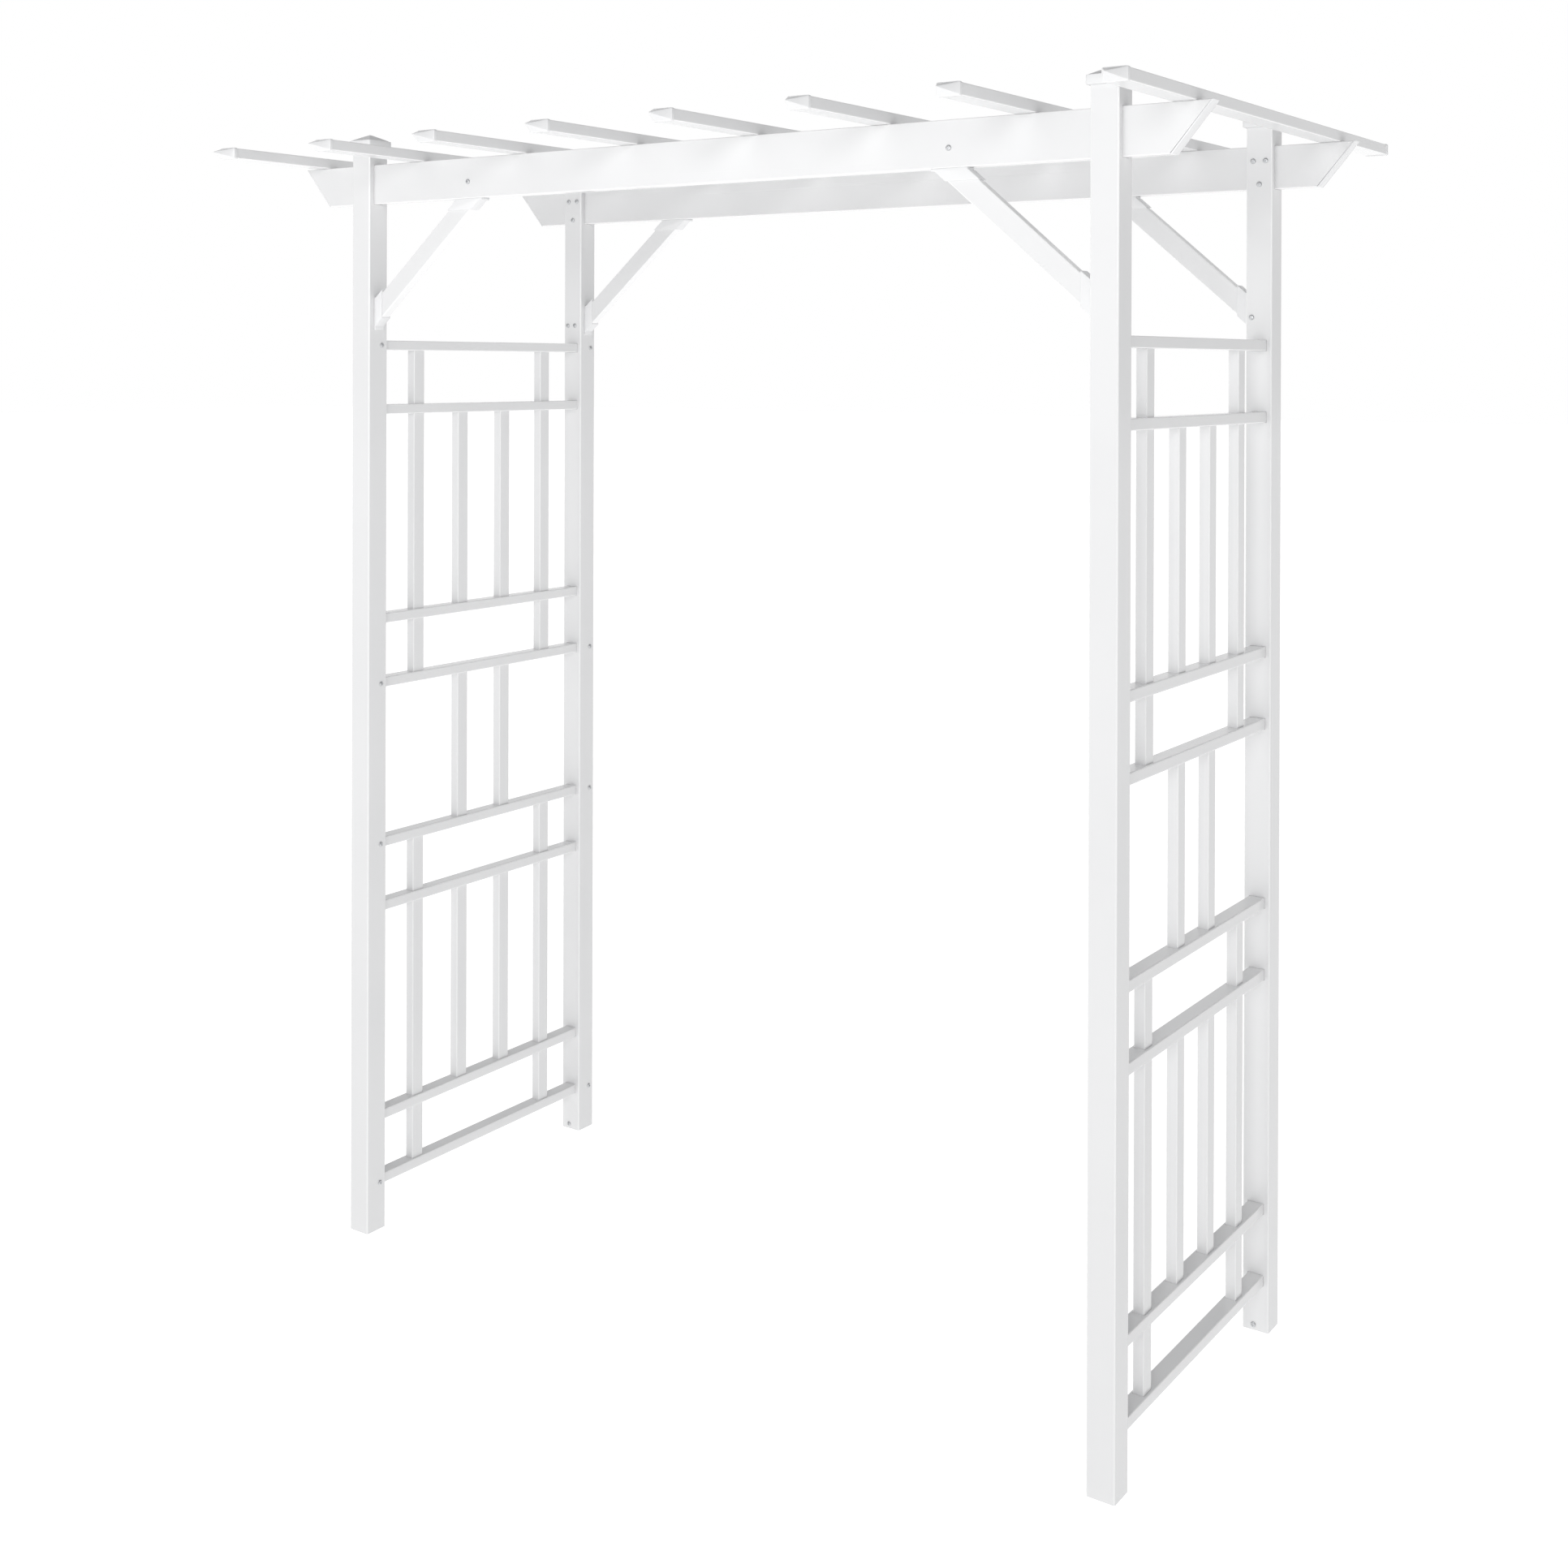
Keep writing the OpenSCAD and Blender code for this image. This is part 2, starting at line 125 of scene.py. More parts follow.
class ArchColours(bpy.types.PropertyGroup):
    """Colours and gloss of the finishes."""

    paint: colour("Paint", (0.838, 0.84, 0.843), "Powder coat on the tubes")
    paint_shade: colour("Paint shade", (0.785, 0.788, 0.793), "Slightly thinner powder coat")
    # Painted highlight: a near-white colour for the round corners of the tubes, standing in for the light
    # that gleams along them.
    corner_highlight: colour("Corner highlight", (0.97, 0.97, 0.97), "Painted highlight on the round corners")
    plastic: colour("Plastic", (0.855, 0.858, 0.862), "Moulded caps and shoes")
    plastic_shade: colour("Plastic shade", (0.83, 0.835, 0.845), "Flow marks in the moulded pieces")
    zinc: colour("Zinc", (0.74, 0.75, 0.76), "Plated screws")
    zinc_shade: colour("Zinc shade", (0.46, 0.47, 0.48), "Dull patches on the screws")
    floor: colour("Floor", (0.35, 0.35, 0.35), "Studio floor, which also glows")
    side_light: colour("Side light", (0.38, 0.38, 0.385), "Light from the sides and from behind")
    overhead_light: colour("Overhead light", (0.36, 0.36, 0.365), "Light from above")
    paint_gloss: share("Paint roughness", 0.2, "Roughness of the powder coat")
    plastic_gloss: share("Plastic roughness", 0.24, "Roughness of the moulded pieces")
    floor_glow: share("Floor glow", 0.93, "Strength of the floor's own light")


# ---- shader maths ----


class Socket:
    """A shader value that can be used in Python sums."""

    def __init__(self, finish, link):
        self.finish = finish
        self.link = link

    def _math(self, operation, first, second):
        return self.finish.node("ShaderNodeMath", {"operation": operation}, {0: first, 1: second})

    def __add__(self, other):
        return self._math("ADD", self, other)

    def __mul__(self, other):
        return self._math("MULTIPLY", self, other)

    def __sub__(self, other):
        return self._math("SUBTRACT", self, other)

    def __rsub__(self, other):
        return self._math("SUBTRACT", other, self)

    def __pow__(self, other):
        return self._math("POWER", self, other)

    __radd__ = __add__
    __rmul__ = __mul__


class Finish:
    """A material or world that is built from nodes."""

    def __init__(self, owner):
        owner.use_nodes = True
        self.owner = owner
        self.tree = owner.node_tree
        self.tree.nodes.clear()

    def node(self, kind, settings=None, sockets=None, output=0):
        """Adds one node: its settings first, then the values or links of its sockets."""
        made = self.tree.nodes.new(kind)
        for name, value in (settings or {}).items():
            setattr(made, name, value)
        for name, value in (sockets or {}).items():
            entry = self._entry(made, name)
            if isinstance(value, Socket):
                self.tree.links.new(value.link, entry)
            else:
                entry.default_value = value
        return Socket(self, made.outputs[output] if made.outputs else None)

    @staticmethod
    def _entry(made, name):
        if isinstance(name, int):
            return made.inputs[name]
        return next(s for s in made.inputs if name in (s.identifier, s.name))

    def place(self, scale=(1.0, 1.0, 1.0)):
        """The piece's own coordinates, stretched."""
        own = self.node("ShaderNodeTexCoord", output=3)
        return self.node("ShaderNodeVectorMath", {"operation": "MULTIPLY"}, {0: own, 1: scale})

    def noise(self, vector, scale, detail):
        """Smooth noise from 0 to 1."""
        return self.node("ShaderNodeTexNoise", None, {"Vector": vector, "Scale": scale, "Detail": detail})

    def blend(self, factor, first, second):
        """A mix of two colours, each a plain one or a socket."""
        first, second = (c if isinstance(c, Socket) else (*c, 1.0) for c in (first, second))
        return self.node(
            "ShaderNodeMix",
            {"data_type": "RGBA"},
            {"Factor_Float": factor, "A_Color": first, "B_Color": second},
            output=2,
        )

    def ramp(self, value, start, stop):
        """A soft step from 0 to 1."""
        return self.node(
            "ShaderNodeMapRange",
            {"interpolation_type": "SMOOTHSTEP"},
            {"Value": value, "From Min": start, "From Max": stop, "To Min": 0.0, "To Max": 1.0},
        )

    def corners(self):
        """Goes from 0 on the flats to 1 on the round corners of a tube: the mask of the painted corner
        highlight.
        """
        facing = self.node("ShaderNodeTexCoord", output=1)
        # The fourth powers of a normal's parts add up to 1 on a flat and to a half midway round a corner.
        flat = 0.0
        for side in range(3):
            flat = self.node("ShaderNodeSeparateXYZ", None, {"Vector": facing}, output=side) ** 4.0 + flat
        return (1.0 - flat) * 2.0

    def surface(self, sockets):
        """The shader itself, linked to the material's output."""
        shader = self.node("ShaderNodeBsdfPrincipled", None, sockets)
        self.node("ShaderNodeOutputMaterial", None, {"Surface": shader})


def new_finish(name):
    """A new material."""
    return Finish(bpy.data.materials.new(name))


def paint(name, along):
    """Glossy white powder coat on drawn tube, with faint draw lines along the tube and a painted highlight on
    its round corners.
    """
    look = bpy.context.scene.arch_colours
    finish = new_finish(name)
    stretch = [1.0, 1.0, 1.0]
    stretch[along] = 0.02  # pulls the noise out into lines
    clouds = finish.noise(finish.place(), scale=5.0, detail=3.0)
    lines = finish.noise(finish.place(stretch), scale=260.0, detail=1.0)
    peel = finish.noise(finish.place(), scale=700.0, detail=1.0)
    specks = finish.noise(finish.place(), scale=2200.0, detail=0.0)
    coat = finish.blend(clouds ** 1.6, look.paint, look.paint_shade)
    height = peel * 0.7 + lines * 0.35 + specks * 0.15
    bump = finish.node("ShaderNodeBump", None, {"Strength": 0.35, "Distance": 0.00012, "Height": height})
    finish.surface(
        {
            # Painted highlight: the round corners are coloured lighter, in place of the light gleaming along
            # them.
            "Base Color": finish.blend(finish.corners(), coat, look.corner_highlight),
            # Both noises together average 0.06, which comes off the roughness that is set.
            "Roughness": clouds * 0.08 + lines * 0.04 + (look.paint_gloss - 0.06),
            "Specular IOR Level": 0.5,
            "Coat Weight": 0.25,
            "Coat Roughness": 0.08,
            "Normal": bump,
        }
    )
    return finish.owner


def plastic():
    """Glossy white moulded plastic with faint flow marks."""
    look = bpy.context.scene.arch_colours
    finish = new_finish("white_moulding")
    flow = finish.noise(finish.place((1.0, 1.0, 2.5)), scale=38.0, detail=4.0)
    grain = finish.noise(finish.place(), scale=1500.0, detail=1.0)
    bump = finish.node(
        "ShaderNodeBump", None, {"Strength": 0.25, "Distance": 0.0001, "Height": grain * 0.6 + flow * 0.4}
    )
    finish.surface(
        {
            "Base Color": finish.blend(flow ** 2.0, look.plastic, look.plastic_shade),
            "Roughness": flow * 0.1 + (look.plastic_gloss - 0.05),
            "Specular IOR Level": 0.5,
            "Normal": bump,
        }
    )


def zinc():
    """Dull plated steel with scratches and darker patches."""
    look = bpy.context.scene.arch_colours
    finish = new_finish("plated_screw")
    patches = finish.noise(finish.place(), scale=420.0, detail=3.0)
    scratches = finish.noise(finish.place((1.0, 1.0, 0.1)), scale=3000.0, detail=1.0)
    bump = finish.node("ShaderNodeBump", None, {"Strength": 0.4, "Distance": 0.00008, "Height": scratches})
    finish.surface(
        {
            "Base Color": finish.blend(patches, look.zinc, look.zinc_shade),
            "Metallic": 1.0,
            "Roughness": patches * 0.25 + 0.22,
            "Normal": bump,
        }
    )


def dress(node, material):
    """Gives a CAD node its finish."""
    for slot in frame["nodes"][node].material_slots:
        slot.material = material


# ---- mesh code ----


def rounded_ring(half_a, half_b, radius, steps=4):
    """Points around a rectangle with round corners."""
    radius = min(radius, half_a, half_b)
    points = []
    for turn, (side_a, side_b) in enumerate(((1, 1), (-1, 1), (-1, -1), (1, -1))):
        for step in range(steps + 1):
            angle = (turn + step / steps) * math.pi / 2
            points.append(
                (
                    side_a * (half_a - radius) + radius * math.cos(angle),
                    side_b * (half_b - radius) + radius * math.sin(angle),
                )
            )
    return points


def add_rings(work, rings):
    """A closed skin through rings of equally many points, with both ends filled."""
    levels = [[work.verts.new(point) for point in ring] for ring in rings]
    for low, high in zip(levels, levels[1:]):
        for k in range(len(low)):
            after = (k + 1) % len(low)
            work.faces.new((low[k], low[after], high[after], high[k]))
    work.faces.new(list(reversed(levels[0])))
    work.faces.new(levels[-1])


def add_prism(work, outline, low, high):
    """An outline in the XZ plane, thickened along Y."""
    near = [work.verts.new((x, low, z)) for x, z in outline]
    far = [work.verts.new((x, high, z)) for x, z in outline]
    work.faces.new(near)
    work.faces.new(list(reversed(far)))
    for k in range(len(outline)):
        after = (k + 1) % len(outline)
        work.faces.new((near[after], near[k], far[k], far[after]))


def soften(work, edge):
    """Rounds every sharp edge."""
    bmesh.ops.recalc_face_normals(work, faces=work.faces)
    sharp = [e for e in work.edges if e.is_manifold and e.calc_face_angle() > SHARP]
    bmesh.ops.bevel(
        work, geom=sharp, offset=edge, segments=3, profile=0.5, affect="EDGES", clamp_overlap=True
    )


def new_piece(name, work, material, slot, *nodes):
    """Turns mesh work into a piece that stands for CAD nodes."""
    bmesh.ops.recalc_face_normals(work, faces=work.faces)
    mesh = bpy.data.meshes.new(name)
    work.to_mesh(mesh)
    work.free()
    mesh.shade_smooth()
    mesh.set_sharp_from_angle(angle=SHARP)
    mesh.materials.append(material)
    piece = bpy.data.objects.new(name, mesh)
    bpy.context.scene.collection.objects.link(piece)
    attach(piece, BODY)
    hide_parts(*nodes)


def new_moulding(name, work, node):
    """Turns mesh work into a moulded white piece that stands for a CAD node."""
    new_piece(name, work, bpy.data.materials["white_moulding"], "white_plastic", node)


def solids(node):
    """The points of each separate solid in a CAD node."""
    work = bmesh.new()
    work.from_mesh(frame["nodes"][node].data)
    bmesh.ops.remove_doubles(work, verts=work.verts, dist=1e-6)
    left = set(work.verts)
    groups = []
    while left:
        stack = [left.pop()]
        group = []
        while stack:
            vert = stack.pop()
            group.append(vert.co.copy())
            for edge in vert.link_edges:
                other = edge.other_vert(vert)
                if other in left:
                    left.remove(other)
                    stack.append(other)
        groups.append(group)
    work.free()
    return groups


def extent(points):
    """Lowest and highest corner of some points."""
    low = Vector(min(p[k] for p in points) for k in range(3))
    high = Vector(max(p[k] for p in points) for k in range(3))
    return low, high


# ---- pieces ----


class ARCH_OT_tubes(bpy.types.Operator):
    """Paint the posts, beams, rafters, braces, rails and bars"""

    bl_idname = "arch.tubes"
    bl_label = "Tubes"

    def execute(self, context):
        across = paint("powder_coat_across", 0)
        through = paint("powder_coat_through", 1)
        upright = paint("powder_coat_upright", 2)
        for corner in CORNERS:
            dress("post_" + corner, upright)
            dress("brace_" + corner, across)
        for name in ROWS:
            dress("beam_" + name, across)
        for number in range(1, RAFTERS + 1):
            dress(f"rafter_{number}", through)
        for side in SIDES:
            for number in range(1, RAILS + 1):
                dress(f"rail_{side}_{number}", through)
            dress("outer_bars_" + side, upright)
            dress("inner_bars_" + side, upright)
        return {"FINISHED"}


class ARCH_OT_foot_plugs(bpy.types.Operator):
    """Give the plugs in the feet their moulded finish"""

    bl_idname = "arch.foot_plugs"
    bl_label = "Foot plugs"

    def execute(self, context):
        for corner in CORNERS:
            dress("foot_plug_" + corner, bpy.data.materials["white_moulding"])
        return {"FINISHED"}


class ARCH_OT_post_caps(bpy.types.Operator):
    """Mould the post caps: a hollow skirt, a ledge and a low pyramid"""

    bl_idname = "arch.post_caps"
    bl_label = "Post caps"

    def execute(self, context):
        s = context.scene.arch_sizes
        for corner in CORNERS:
            node = "post_cap_" + corner
            low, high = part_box(node)
            middle = (low + high) / 2
            half = (high.x - low.x) / 2
            top = low.z + s.cap_skirt
            inside = half - s.skirt_wall
            peak = high.z
            inner_round, outer_round = 0.003, 0.004
            # Half width, corner radius and height of each ring, from inside the skirt up to the peak.
            levels = [
                (inside, inner_round, top - s.cap_floor),
                (inside, inner_round, low.z + s.edge),
                (inside + s.edge, inner_round, low.z),
                (half - s.edge, 0.0035, low.z),
                (half - 0.3 * s.edge, outer_round, low.z + 0.3 * s.edge),
                (half, outer_round, low.z + s.edge),
                (half, outer_round, top - 2 * s.edge),
                (half - 0.5 * s.edge, 0.0038, top - 0.5 * s.edge),
                (half - 2 * s.edge, 0.0034, top),
                (half - 2 * s.edge - s.ledge, 0.002, top + 0.4 * s.edge),
                (half / 2, 0.0012, (top + peak) / 2),
                (0.004, 0.0008, peak - 0.0012),
                (0.0016, 0.0006, peak - 0.0002),
                (0.0006, 0.0003, peak),
            ]
            rings = [
                [(middle.x + a, middle.y + b, z) for a, b in rounded_ring(reach, reach, radius)]
                for reach, radius, z in levels
            ]
            work = bmesh.new()
            add_rings(work, rings)
            new_moulding("moulded_" + node, work, node)
        return {"FINISHED"}


class ARCH_OT_beam_ends(bpy.types.Operator):
    """Mould the slanted plates that close the beams"""

    bl_idname = "arch.beam_ends"
    bl_label = "Beam ends"

    def execute(self, context):
        s = context.scene.arch_sizes
        for corner in CORNERS:
            node = "beam_end_" + corner
            low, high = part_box(node)
            out = -1 if corner.endswith("left") else 1
            tip = low.x if out < 0 else high.x
            points = [p for group in solids(node) for p in group if p.z < low.z + s.edge]
            base = out * max(out * p.x for p in points)
            outline = [
                (tip, high.z),
                (base, low.z),
                (base - out * s.end_plate, low.z),
                (tip - out * s.end_plate, high.z),
            ]
            work = bmesh.new()
            add_prism(work, outline, low.y, high.y)
            soften(work, s.edge)
            new_moulding("moulded_" + node, work, node)
        return {"FINISHED"}


class ARCH_OT_rafter_caps(bpy.types.Operator):
    """Mould the pointed caps on the rafters' ends"""

    bl_idname = "arch.rafter_caps"
    bl_label = "Rafter caps"

    def execute(self, context):
        s = context.scene.arch_sizes
        for name, out in zip(ROWS, (-1, 1)):
            node = "rafter_caps_" + name
            work = bmesh.new()
            for points in solids(node):
                self.add_cap(work, points, out, s)
            new_moulding("moulded_" + node, work, node)
        return {"FINISHED"}

    @staticmethod
    def add_cap(work, points, out, s):
        """One cap around its CAD points: a rim over the rafter's end, then a point."""
        low, high = extent(points)
        middle = (low + high) / 2
        half_w, half_h = (high.x - low.x) / 2, (high.z - low.z) / 2
        rim = [out * p.y for p in points if p.x > high.x - 1e-5]
        start, stop = min(rim), max(rim)
        tip = max(out * p.y for p in points)
        first = 1.2 * s.edge
        shoulder = stop + 0.4 * s.edge
        # Inset, corner radius and place along the rafter of each ring around the rim.
        levels = [
            (s.edge, 0.003, start),
            (0.3 * s.edge, 0.003, start + 0.3 * s.edge),
            (0.0, 0.003, start + s.edge),
            (0.0, 0.003, stop - s.edge),
            (0.3 * s.edge, 0.0027, stop - 0.2 * s.edge),
            (first, 0.002, shoulder),
        ]
        rings = []
        for inset, radius, y in levels:
            ring = rounded_ring(half_w - inset, half_h - inset, radius)
            rings.append([(middle.x + a, out * y, middle.z + b) for a, b in ring])
        blunt = 0.03
        for part in (0.5, 0.9, 0.985, 1.0):
            taper = max(1 - part, blunt)
            ring = rounded_ring((half_w - first) * taper, (half_h - first) * taper, 0.002 * taper)
            y = shoulder + (tip - shoulder) * part
            rings.append([(middle.x + a, out * y, middle.z + b) for a, b in ring])
        add_rings(work, rings)


class ARCH_OT_brace_shoes(bpy.types.Operator):
    """Mould the shoes that hold the braces on the posts and under the beams"""

    bl_idname = "arch.brace_shoes"
    bl_label = "Brace shoes"

    def execute(self, context):
        s = context.scene.arch_sizes
        on_posts, on_beams = bmesh.new(), bmesh.new()
        for corner in CORNERS:
            self.add_shoes(corner, on_posts, on_beams, s)
        soften(on_posts, s.edge)
        soften(on_beams, s.edge)
        new_moulding("moulded_post_shoes", on_posts, "brace_post_shoes")
        new_moulding("moulded_beam_shoes", on_beams, "brace_beam_shoes")
        return {"FINISHED"}

    @staticmethod
    def add_shoes(corner, on_posts, on_beams, s):
        """Both shoes of one brace, as outlines from the post's face and the beam's underside."""
        post_low, post_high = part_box("post_" + corner)
        beam_low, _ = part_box("beam_" + corner.split("_")[0])
        brace_low, brace_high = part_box("brace_" + corner)
        inward = 1 if corner.endswith("left") else -1
        face = post_high.x if inward > 0 else post_low.x
        under = beam_low.z
        # The brace's box runs from the shoe plates to its corners, and its sides cut both plates.
        wide, tall = brace_high.x - brace_low.x, brace_high.z - brace_low.z
        tilt = brace_tilt(wide, tall, s.brace_width)
        slope = math.tan(tilt)
        along_post = s.brace_width / math.cos(tilt) / 2
        drop = tall + s.shoe_base - along_post + s.shoe_base * slope
        run = drop / slope
        side = (s.brace_width / 2 + s.shoe_wall) / math.cos(tilt)
        reach = (s.brace_width / 2 + s.shoe_wall + s.lip) / math.cos(tilt)

        def lower(x):
            return -drop + x * slope - side

        def upper(x):
            return -drop + x * slope + reach

        rim = along_post + s.post_plate_rim
        base, collar = s.shoe_base, s.collar
        outline = [(0, -drop - rim), (base, -drop - rim), (base, lower(base)), (collar, lower(collar))]
        outline += [(collar, upper(collar)), (base, upper(base)), (base, -drop + rim), (0, -drop + rim)]
        # Where the collar rises past the plate's rim, the plate ends level with the collar.
        if upper(base) > -drop + rim:
            outline[6:] = [(0, upper(base))]
        half = (brace_high.y - brace_low.y) / 2 + s.shoe_wall
        middle = (brace_low.y + brace_high.y) / 2
        near, far = middle - half, middle + half
        add_prism(on_posts, [(face + inward * x, under + z) for x, z in outline], near, far)

        def before(z):
            return (z + drop - side) / slope

        def after(z):
            return (z + drop + side) / slope

        long_rim = s.brace_width / math.sin(tilt) / 2 + s.beam_plate_rim
        outline = [(run - long_rim, 0), (run + long_rim, 0), (run + long_rim, -base), (after(-base), -base)]
        outline += [(after(-collar), -collar), (before(-collar), -collar), (before(-base), -base)]
        outline += [(run - long_rim, -base)]
        add_prism(on_beams, [(face + inward * x, under + z) for x, z in outline], near, far)


def brace_tilt(wide, tall, width):
    """Angle of a brace above the level, from the box of a bar that is cut upright and level."""
    tilt = math.atan2(tall, wide)
    for _ in range(30):  # settles long before the last round
        rise = tall - width / math.cos(tilt) / 2
        run = wide - width / math.sin(tilt) / 2
        tilt = math.atan2(rise, run)
    return tilt


class ARCH_OT_screws(bpy.types.Operator):
    """Make the pan-head screws, each with a domed head and a cross recess"""

    bl_idname = "arch.screws"
    bl_label = "Screws"

    def execute(self, context):
        s = context.scene.arch_sizes
        head = self.head(context, s.recess)
        for node in ("rafter_screws", "beam_screws", "brace_screws", "rail_screws", "foot_screws"):
            work = bmesh.new()
            for points in solids(node):
                self.add_screw(work, points, head)
            new_piece("pan_head_" + node, work, bpy.data.materials["plated_screw"], "screw_steel", node)
        bpy.data.meshes.remove(head)
        return {"FINISHED"}

    @staticmethod
    def head(context, recess):
        """A pan head of radius 1 and height 1, with a cross cut into its dome."""
        # Radius and height of each ring, from the seat up to the crown.
        profile = [(0.94, 0.0), (1.0, 0.08), (1.0, 0.3), (0.95, 0.55)]
        profile += [(0.82, 0.78), (0.6, 0.93), (0.3, 0.99), (0.05, 1.0)]
        around = 32
        work = bmesh.new()
        turn = 2 * math.pi / around
        circle = [(math.cos(k * turn), math.sin(k * turn)) for k in range(around)]
        add_rings(work, [[(r * x, r * y, z) for x, y in circle] for r, z in profile])
        mesh = bpy.data.meshes.new("head")
        work.to_mesh(mesh)
        work.free()
        dome = bpy.data.objects.new("head", mesh)
        work = bmesh.new()
        arm = recess / HEAD_RADIUS / 2
        reach, bottom, top = 0.55, 0.5, 1.5
        for a, b in ((reach, arm), (arm, reach)):
            square = ((-a, -b), (a, -b), (a, b), (-a, b))
            add_rings(work, [[(x, y, z) for x, y in square] for z in (bottom, top)])
        cross = bpy.data.meshes.new("cross")
        work.to_mesh(cross)
        work.free()
        cutter = bpy.data.objects.new("cross", cross)
        for made in (dome, cutter):
            context.scene.collection.objects.link(made)
        cut = dome.modifiers.new("recess", "BOOLEAN")
        cut.object = cutter
        cut.solver = "EXACT"
        cut.use_self = True
        graph = context.evaluated_depsgraph_get()
        result = bpy.data.meshes.new_from_object(dome.evaluated_get(graph))
        for made in (dome, cutter):
            bpy.data.objects.remove(made)
        return result

    @staticmethod
    def add_screw(work, points, head):
        """A head set where the CAD screw's head stands, whichever way it points."""
        low, high = extent(points)
        middle = (low + high) / 2
        spans = high - low
        axis = max(range(3), key=lambda k: spans[k])
        radius = max(spans[k] for k in range(3) if k != axis) / 2
        # Only the head's points lie this far out from the screw's axis.
        beyond = (0.7 * radius) ** 2
        spread = [(p[axis], (p - middle).length_squared - (p[axis] - middle[axis]) ** 2) for p in points]
        wide = [along for along, squared in spread if squared > beyond]
        out = 1 if sum(wide) / len(wide) > middle[axis] else -1
        seat = min(wide) if out > 0 else max(wide)
        crown = high[axis] if out > 0 else low[axis]
        spot = middle.copy()
        spot[axis] = seat
        turn = Vector((0, 0, 1)).rotation_difference(Vector([out if k == axis else 0 for k in range(3)]))
        size_of = Matrix.Diagonal((radius, radius, abs(crown - seat), 1))
        place = Matrix.Translation(spot) @ turn.to_matrix().to_4x4() @ size_of
        first = len(work.verts)
        work.from_mesh(head)
        work.verts.ensure_lookup_table()
        bmesh.ops.transform(work, matrix=place, verts=work.verts[first:])


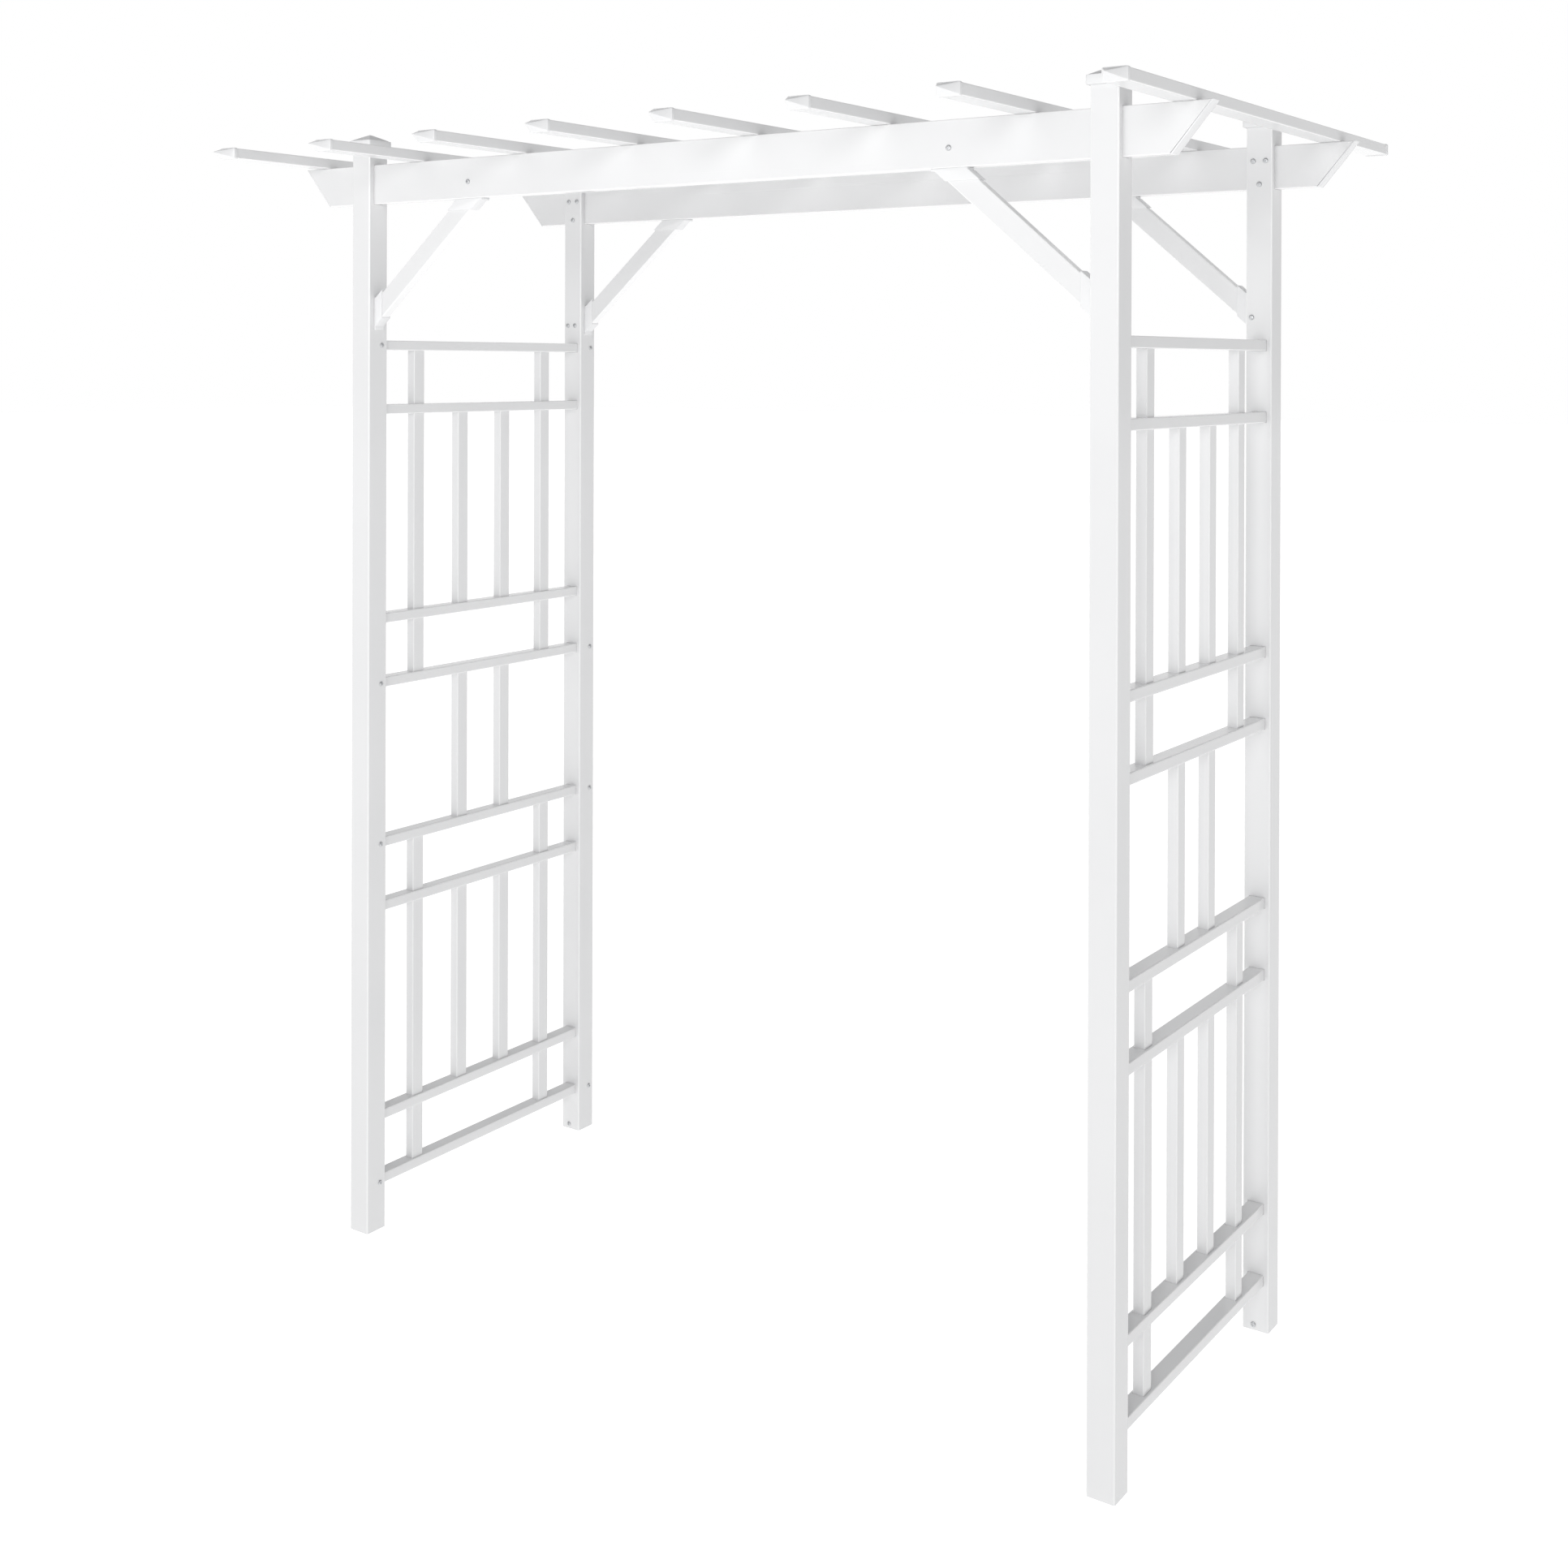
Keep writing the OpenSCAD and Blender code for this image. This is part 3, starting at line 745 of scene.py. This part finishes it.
class ARCH_OT_stage(bpy.types.Operator):
    """Set up the pale floor, the soft lights and the camera"""

    bl_idname = "arch.stage"
    bl_label = "Stage"

    def execute(self, context):
        self.floor(context)
        self.sky(context)
        self.lamp(
            context, "key", place=(-1.1, -3.3, 2.9), target=(-0.3, -0.3, 1.6), width=3.0, power=30.0
        )
        self.lamp(
            context, "edge", place=(1.8, -4.5, 2.6), target=(0.0, -0.2, 1.3), width=1.2, power=42.0
        )
        self.camera(context)
        context.scene.view_settings.view_transform = "Standard"
        return {"FINISHED"}

    @staticmethod
    def floor(context):
        """A wide sheet that glows evenly, so that it has no horizon line."""
        look = context.scene.arch_colours
        half = context.scene.arch_sizes.floor
        work = bmesh.new()
        bmesh.ops.create_grid(work, x_segments=1, y_segments=1, size=half)
        mesh = bpy.data.meshes.new("studio_floor")
        work.to_mesh(mesh)
        work.free()
        finish = new_finish("studio_floor")
        mottle = finish.noise(finish.place(), scale=0.8, detail=2.0)
        worn = [0.985 * c for c in look.floor]
        finish.surface(
            {
                "Base Color": finish.blend(mottle, look.floor, worn),
                "Roughness": 0.75,
                "Specular IOR Level": 0.2,
                "Emission Color": (*WHITE, 1.0),
                "Emission Strength": look.floor_glow,
            }
        )
        mesh.materials.append(finish.owner)
        ground = bpy.data.objects.new("studio_floor", mesh)
        context.scene.collection.objects.link(ground)

    @staticmethod
    def sky(context):
        """A bright wall of light behind the arch, dimmer at the sides and overhead."""
        look = context.scene.arch_colours
        world = bpy.data.worlds.new("studio")
        context.scene.world = world
        finish = Finish(world)
        way = finish.node("ShaderNodeTexCoord", output=0)
        height = finish.node("ShaderNodeSeparateXYZ", None, {"Vector": way}, output=2)
        ahead = finish.node(
            "ShaderNodeVectorMath", {"operation": "DOT_PRODUCT"}, {0: way, 1: AHEAD}, output=1
        )
        wall = finish.blend(finish.ramp(ahead, start=0.2, stop=0.85), look.side_light, WHITE)
        tone = finish.blend(finish.ramp(height, start=0.2, stop=0.48), wall, look.overhead_light)
        light = finish.node("ShaderNodeBackground", None, {"Color": tone, "Strength": 1.0})
        finish.node("ShaderNodeOutputWorld", None, {"Surface": light})

    @staticmethod
    def lamp(context, name, place, target, width, power):
        """A square soft light that looks from its place at its target."""
        data = bpy.data.lights.new(name, "AREA")
        data.shape = "SQUARE"
        data.size = width
        data.energy = power
        lamp = bpy.data.objects.new(name, data)
        lamp.location = place
        lamp.rotation_euler = (Vector(target) - Vector(place)).to_track_quat("-Z", "Y").to_euler()
        context.scene.collection.objects.link(lamp)

    @staticmethod
    def camera(context):
        """A level camera at eye height, with its frame shifted down."""
        data = bpy.data.cameras.new("camera")
        data.sensor_width = 36.0
        data.lens = 44.75
        data.shift_y = -0.2633
        data.clip_start = 0.05
        data.clip_end = 200.0
        camera = bpy.data.objects.new("camera", data)
        camera.location = (2.1484, -3.1487, 1.777)
        turn, nod, lean = math.radians(34.578), math.radians(-0.155), math.radians(0.166)
        spin = Matrix.Rotation(turn, 3, "Z") @ Matrix.Rotation(math.pi / 2 + nod, 3, "X")
        camera.rotation_euler = (spin @ Matrix.Rotation(lean, 3, "Z")).to_euler()
        context.scene.collection.objects.link(camera)
        context.scene.camera = camera


class ARCH_PT_panel(bpy.types.Panel):
    """Lists the steps of the arch"""

    bl_idname = "ARCH_PT_panel"
    bl_label = "Garden Arch"
    bl_space_type = "VIEW_3D"
    bl_region_type = "UI"
    bl_category = "Arch"

    def draw(self, context):
        for name in STEPS:
            self.layout.operator("arch." + name)


STEPS = ("tubes", "foot_plugs", "post_caps", "beam_ends", "rafter_caps", "brace_shoes", "screws", "stage")
CLASSES = (
    ArchSizes,
    ArchColours,
    ARCH_OT_tubes,
    ARCH_OT_foot_plugs,
    ARCH_OT_post_caps,
    ARCH_OT_beam_ends,
    ARCH_OT_rafter_caps,
    ARCH_OT_brace_shoes,
    ARCH_OT_screws,
    ARCH_OT_stage,
    ARCH_PT_panel,
)


def register():
    for cls in CLASSES:
        bpy.utils.register_class(cls)
    bpy.types.Scene.arch_sizes = bpy.props.PointerProperty(type=ArchSizes)
    bpy.types.Scene.arch_colours = bpy.props.PointerProperty(type=ArchColours)


def unregister():
    del bpy.types.Scene.arch_colours
    del bpy.types.Scene.arch_sizes
    for cls in reversed(CLASSES):
        bpy.utils.unregister_class(cls)


def main():
    register()
    plastic()
    zinc()
    for name in STEPS:
        getattr(bpy.ops.arch, name)()


if __name__ == "__main__":
    main()
